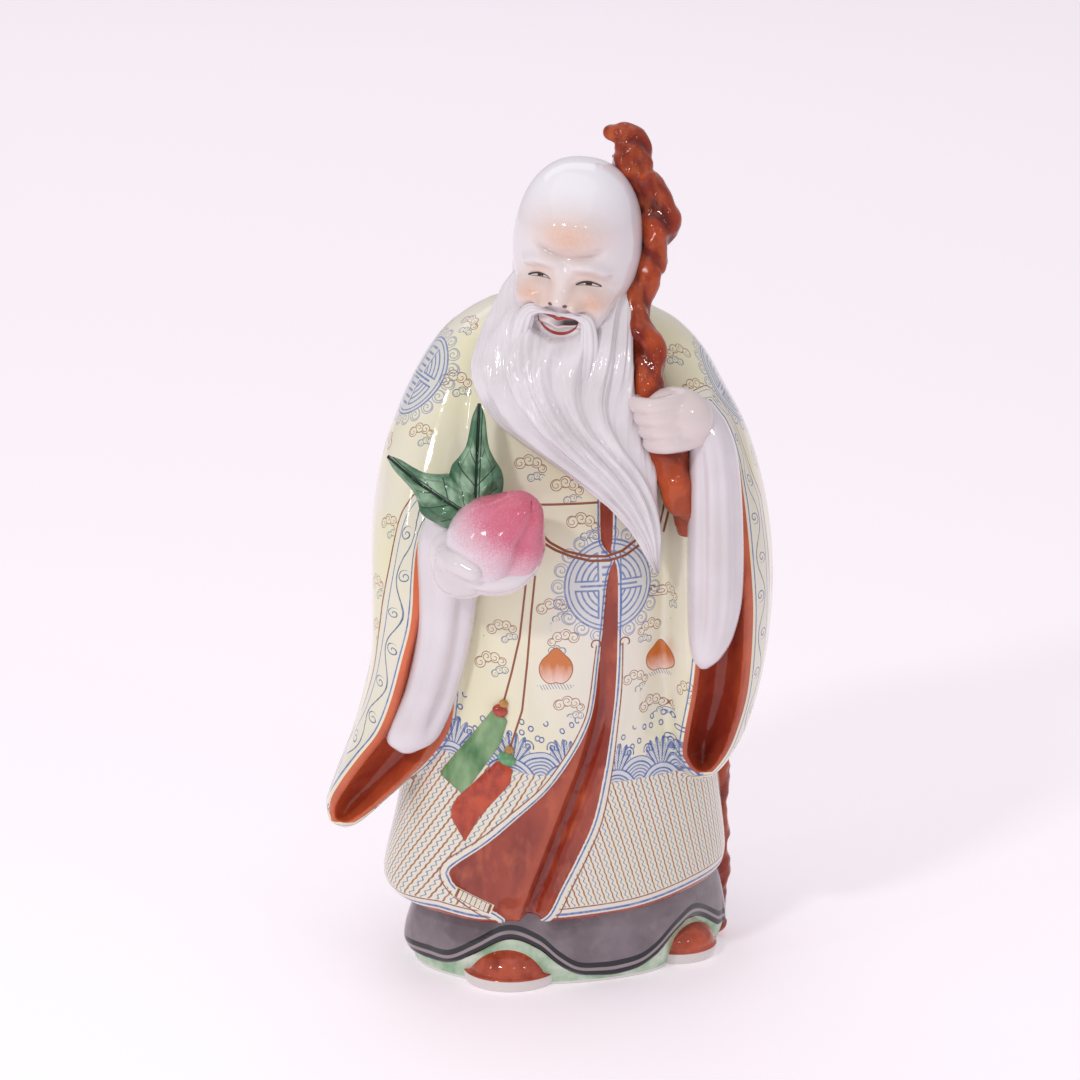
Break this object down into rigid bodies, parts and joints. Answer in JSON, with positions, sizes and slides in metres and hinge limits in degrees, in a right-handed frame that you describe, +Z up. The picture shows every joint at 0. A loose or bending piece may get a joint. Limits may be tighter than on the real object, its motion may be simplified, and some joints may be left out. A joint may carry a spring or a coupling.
{
  "type": "figurine",
  "caption": "Standing glazed porcelain elder in a long-sleeved robe, with a flowing beard, a peach in one hand and a gnarled staff in the other.",
  "frame": {"origin": "on the flat underside, under the middle of the robe", "axes": "+Z up, -Y the way the figure faces, +X to the right of someone who looks at its face"},
  "size_m": [0.1689, 0.139, 0.3236],
  "materials": {
    "glaze": "gloss"
  },
  "bodies": {
    "root": {"figurine": "glaze"}
  },
  "joints": []
}
